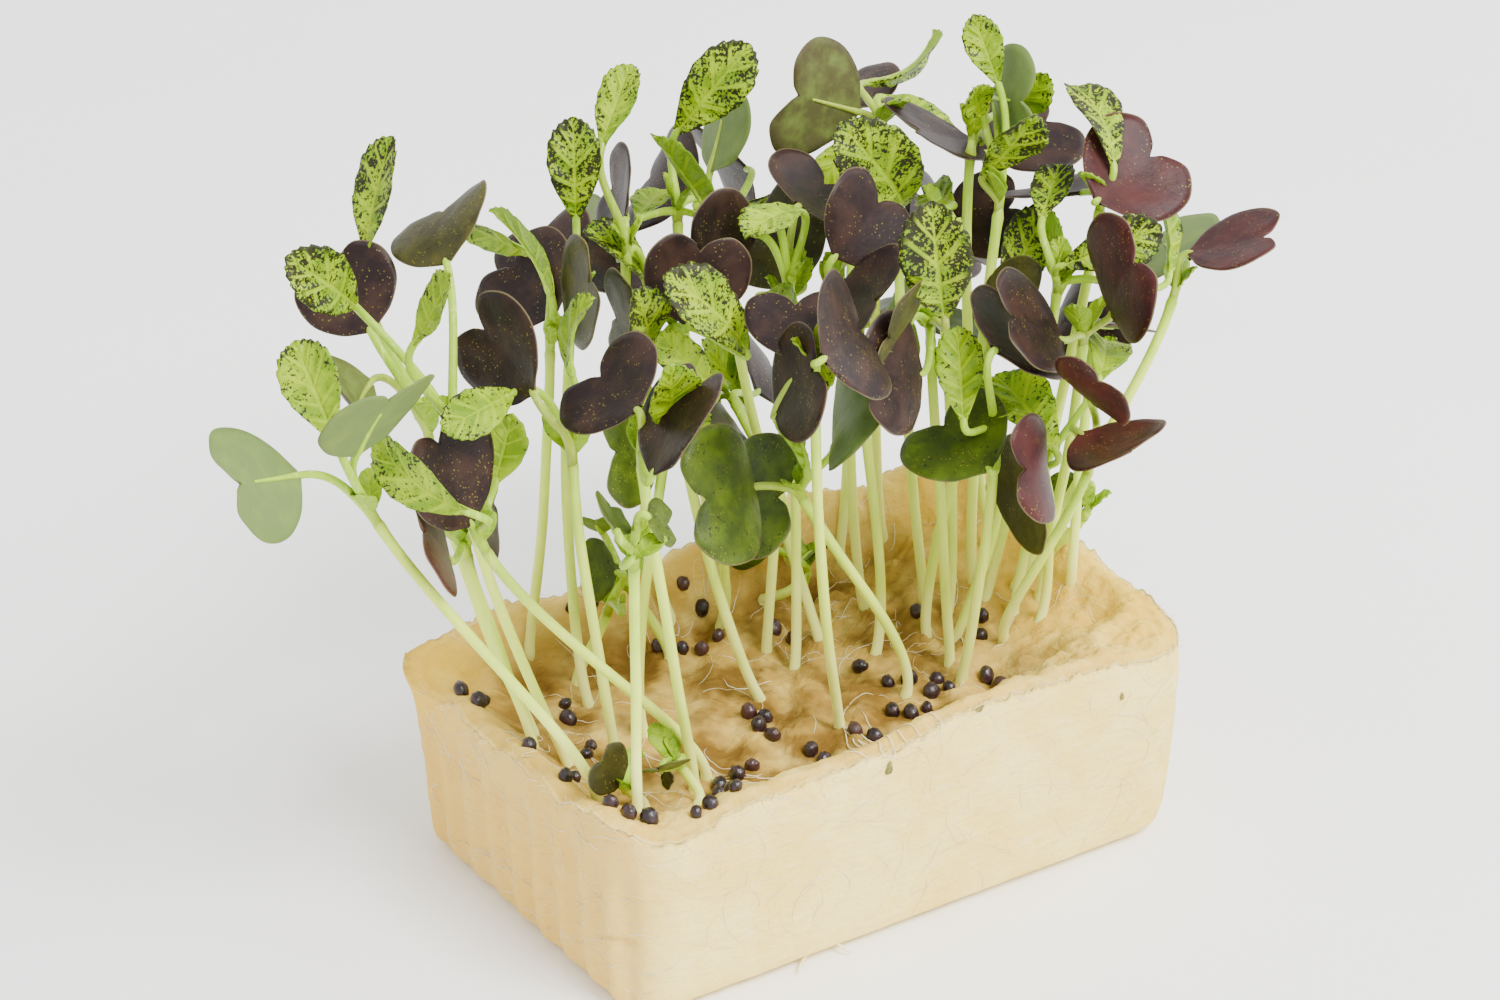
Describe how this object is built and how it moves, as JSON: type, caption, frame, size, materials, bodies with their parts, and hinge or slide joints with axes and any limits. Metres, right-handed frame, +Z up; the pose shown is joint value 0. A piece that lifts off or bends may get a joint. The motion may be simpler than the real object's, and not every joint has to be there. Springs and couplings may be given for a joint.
{
  "type": "tray of microgreens",
  "caption": "Moulded block of growing fibre with a torn raised rim, densely planted with young purple mustard sprouts on pale slender stems.",
  "frame": {"origin": "middle of the block's flat base", "axes": "+X along the block's long side, +Y across it, away from the side the picture looks at, +Z up"},
  "size_m": [0.1538, 0.0881, 0.103],
  "materials": {
    "growing_fibre": "moist pale cellulose fibre, matt, with a faint nap",
    "young_plant": "fresh leaf and stem, satin"
  },
  "bodies": {
    "root": {"growing_block": "growing_fibre", "plant_01": "young_plant", "plant_02": "young_plant", "plant_03": "young_plant", "plant_04": "young_plant", "plant_05": "young_plant", "plant_06": "young_plant", "plant_07": "young_plant", "plant_08": "young_plant", "plant_09": "young_plant", "plant_10": "young_plant", "plant_11": "young_plant", "plant_12": "young_plant", "plant_13": "young_plant", "plant_14": "young_plant", "plant_15": "young_plant", "plant_16": "young_plant", "plant_17": "young_plant", "plant_18": "young_plant", "plant_19": "young_plant", "plant_20": "young_plant", "plant_21": "young_plant", "plant_22": "young_plant", "plant_23": "young_plant", "plant_24": "young_plant", "plant_25": "young_plant", "plant_26": "young_plant", "plant_27": "young_plant", "plant_28": "young_plant", "plant_29": "young_plant", "plant_30": "young_plant", "plant_31": "young_plant", "plant_32": "young_plant", "plant_33": "young_plant", "plant_34": "young_plant", "plant_35": "young_plant", "plant_36": "young_plant", "plant_37": "young_plant", "plant_38": "young_plant", "plant_39": "young_plant", "plant_40": "young_plant", "plant_41": "young_plant", "plant_42": "young_plant", "plant_43": "young_plant", "plant_44": "young_plant", "plant_45": "young_plant", "plant_46": "young_plant"}
  },
  "joints": []
}
